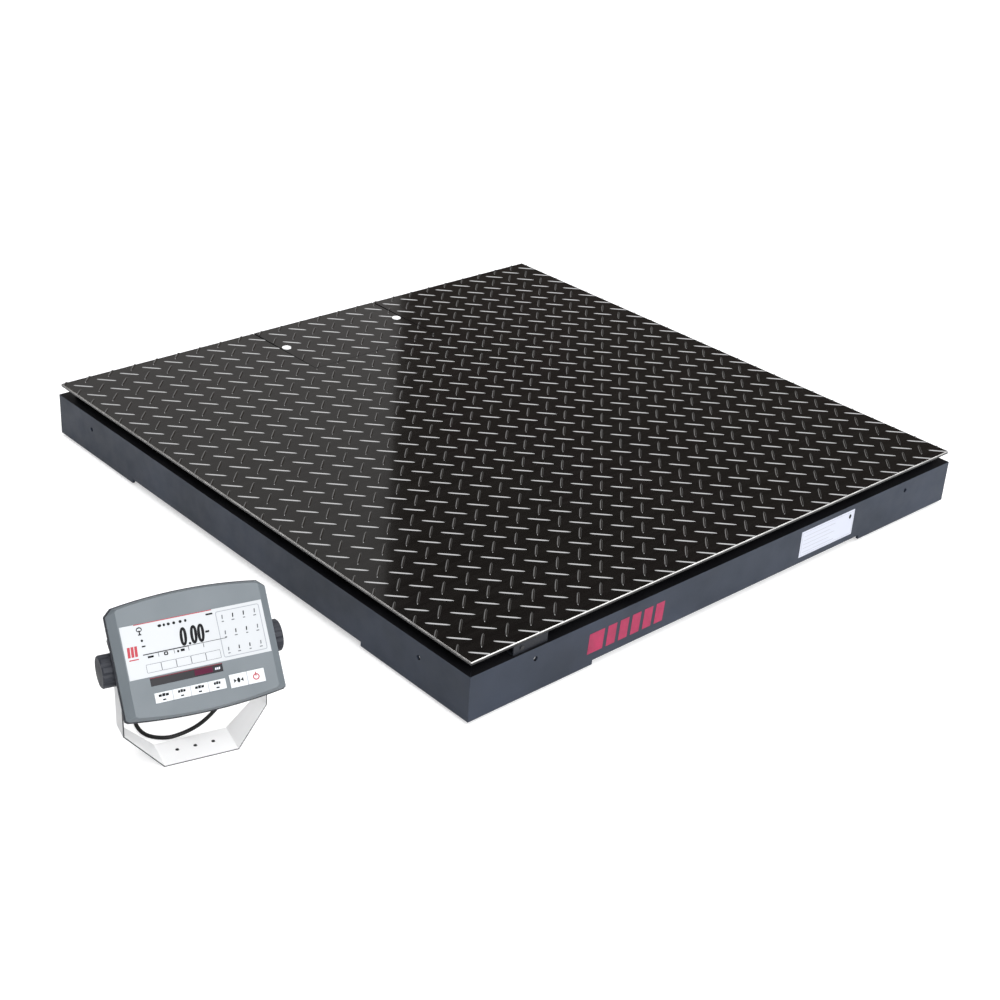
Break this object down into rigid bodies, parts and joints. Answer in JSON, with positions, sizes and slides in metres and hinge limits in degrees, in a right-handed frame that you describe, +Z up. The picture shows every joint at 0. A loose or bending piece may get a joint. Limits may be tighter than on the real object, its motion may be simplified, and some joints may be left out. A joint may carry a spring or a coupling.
{
  "type": "pallet scale",
  "caption": "Low square floor scale with a tread-plate deck, a dark steel skirt and a lift-off access cover, and a tilting desktop indicator on a bent-sheet stand.",
  "frame": {"origin": "on the floor, at the centre of the box around the platform and the indicator, without the loose cable", "axes": "+Z up, +X along the front skirt from the indicator towards the platform, +Y to the rear"},
  "size_m": [1.7024, 1.2206, 0.2546],
  "materials": {
    "deck": "gloss black paint on raised tread pattern",
    "skirt": "satin slate-grey powder coat",
    "frame_paint": "satin black paint",
    "zinc": "bright zinc plate",
    "metal": "machined",
    "black_metal": "black oxide",
    "foot": "black rubber-coated iron",
    "box_plastic": "light grey moulded",
    "black_plastic": "black moulded",
    "board": "green circuit board",
    "cable": "black sheath",
    "label": "satin white film",
    "white_paint": "satin white paint",
    "bezel": "fine-grained blue-grey",
    "housing": "dark grey moulded",
    "seal": "black",
    "overlay": "white printed film",
    "lcd": "pale display",
    "light": "dark red tinted",
    "key": "white keys"
  },
  "bodies": {
    "platform": {"deck_plate": "deck", "cover_ledge": "frame_paint", "side_channel_front": "skirt", "side_channel_right": "skirt", "side_channel_rear": "skirt", "side_channel_left": "skirt", "riser_bars": "frame_paint", "deck_beams": "frame_paint", "centre_beam": "frame_paint", "corner_blocks": "frame_paint", "cell_bolts": "zinc", "lock_nuts": "zinc", "junction_tray": "frame_paint", "junction_box": "box_plastic", "junction_lid": "box_plastic", "junction_board": "board", "cable_glands": "black_plastic", "inner_cables": "cable", "output_socket": "metal", "nameplate": "label", "seal_plate": "skirt", "seal_screw": "black_metal", "stand_bracket": "white_paint", "indicator_cord": "cable", "indicator_cord_coil": "cable", "cord_connector": "black_plastic", "load_cell_1": "metal", "load_cell_2": "metal", "load_cell_3": "metal", "load_cell_4": "metal"},
    "cover": {"access_cover": "deck", "cover_screws": "white_paint"},
    "head": {"front_bezel": "bezel", "rear_housing": "housing", "housing_gasket": "seal", "display_overlay": "overlay", "lcd_module": "lcd", "light_window": "light", "main_board": "board", "power_board": "board", "housing_screws": "zinc", "pivot_washers": "black_plastic", "cord_gland": "black_plastic"},
    "knob_left": {"knob_left": "housing"},
    "knob_right": {"knob_right": "housing"},
    "foot_1": {"foot_pad_1": "foot"},
    "stem_1": {"foot_stem_1": "zinc"},
    "foot_2": {"foot_pad_2": "foot"},
    "stem_2": {"foot_stem_2": "zinc"},
    "foot_3": {"foot_pad_3": "foot"},
    "stem_3": {"foot_stem_3": "zinc"},
    "foot_4": {"foot_pad_4": "foot"},
    "stem_4": {"foot_stem_4": "zinc"},
    "key_1": {"key_1": "key"},
    "key_2": {"key_2": "key"},
    "key_3": {"key_3": "key"},
    "key_4": {"key_4": "key"},
    "key_5": {"key_5": "key"},
    "key_6": {"key_6": "key"}
  },
  "joints": [
    {"name": "cover_lift", "type": "slide", "parent": "platform", "child": "cover", "axis": [0, 0, 1], "range_m": [0, 0.12]},
    {"name": "foot_1_height", "type": "slide", "parent": "platform", "child": "foot_1", "axis": [0, 0, -1], "range_m": [-0.004, 0.01]},
    {"name": "stem_1_turn", "type": "hinge", "parent": "foot_1", "child": "stem_1", "pos_m": [-0.2847, -0.53, 0.01], "axis": [0, 0, -1], "range_deg": [-823.9, 2058.1]},
    {"name": "foot_2_height", "type": "slide", "parent": "platform", "child": "foot_2", "axis": [0, 0, -1], "range_m": [-0.004, 0.01]},
    {"name": "stem_2_turn", "type": "hinge", "parent": "foot_2", "child": "stem_2", "pos_m": [0.7753, -0.53, 0.01], "axis": [0, 0, -1], "range_deg": [-823.9, 2058.1]},
    {"name": "foot_3_height", "type": "slide", "parent": "platform", "child": "foot_3", "axis": [0, 0, -1], "range_m": [-0.004, 0.01]},
    {"name": "stem_3_turn", "type": "hinge", "parent": "foot_3", "child": "stem_3", "pos_m": [0.7753, 0.53, 0.01], "axis": [0, 0, -1], "range_deg": [-823.9, 2058.1]},
    {"name": "foot_4_height", "type": "slide", "parent": "platform", "child": "foot_4", "axis": [0, 0, -1], "range_m": [-0.004, 0.01]},
    {"name": "stem_4_turn", "type": "hinge", "parent": "foot_4", "child": "stem_4", "pos_m": [-0.2847, 0.53, 0.01], "axis": [0, 0, -1], "range_deg": [-823.9, 2058.1]},
    {"name": "head_tilt", "type": "hinge", "parent": "platform", "child": "head", "pos_m": [-0.71361, -0.39833, 0.158], "axis": [0.9659, -0.2588, 0], "range_deg": [-45, 30], "deforming": ["indicator_cord"]},
    {"name": "knob_left_turn", "type": "hinge", "parent": "head", "child": "knob_left", "pos_m": [-0.82952, -0.36727, 0.158], "axis": [0.9659, -0.2588, 0], "continuous": true},
    {"name": "knob_right_turn", "type": "hinge", "parent": "head", "child": "knob_right", "pos_m": [-0.59769, -0.42939, 0.158], "axis": [0.9659, -0.2588, 0], "continuous": true},
    {"name": "key_1_press", "type": "slide", "parent": "head", "child": "key_1", "axis": [0.2094, 0.7815, -0.5878], "range_m": [0, 0.0008], "stiffness_N_per_m": 2500},
    {"name": "key_2_press", "type": "slide", "parent": "head", "child": "key_2", "axis": [0.2094, 0.7815, -0.5878], "range_m": [0, 0.0008], "stiffness_N_per_m": 2500},
    {"name": "key_3_press", "type": "slide", "parent": "head", "child": "key_3", "axis": [0.2094, 0.7815, -0.5878], "range_m": [0, 0.0008], "stiffness_N_per_m": 2500},
    {"name": "key_4_press", "type": "slide", "parent": "head", "child": "key_4", "axis": [0.2094, 0.7815, -0.5878], "range_m": [0, 0.0008], "stiffness_N_per_m": 2500},
    {"name": "key_5_press", "type": "slide", "parent": "head", "child": "key_5", "axis": [0.2094, 0.7815, -0.5878], "range_m": [0, 0.0008], "stiffness_N_per_m": 2500},
    {"name": "key_6_press", "type": "slide", "parent": "head", "child": "key_6", "axis": [0.2094, 0.7815, -0.5878], "range_m": [0, 0.0008], "stiffness_N_per_m": 2500}
  ],
  "couplings": [
    {"joint": "stem_1_turn", "follows": "foot_1_height", "rad_per_m": 3590.4},
    {"joint": "stem_2_turn", "follows": "foot_2_height", "rad_per_m": 3590.4},
    {"joint": "stem_3_turn", "follows": "foot_3_height", "rad_per_m": 3590.4},
    {"joint": "stem_4_turn", "follows": "foot_4_height", "rad_per_m": 3590.4}
  ]
}
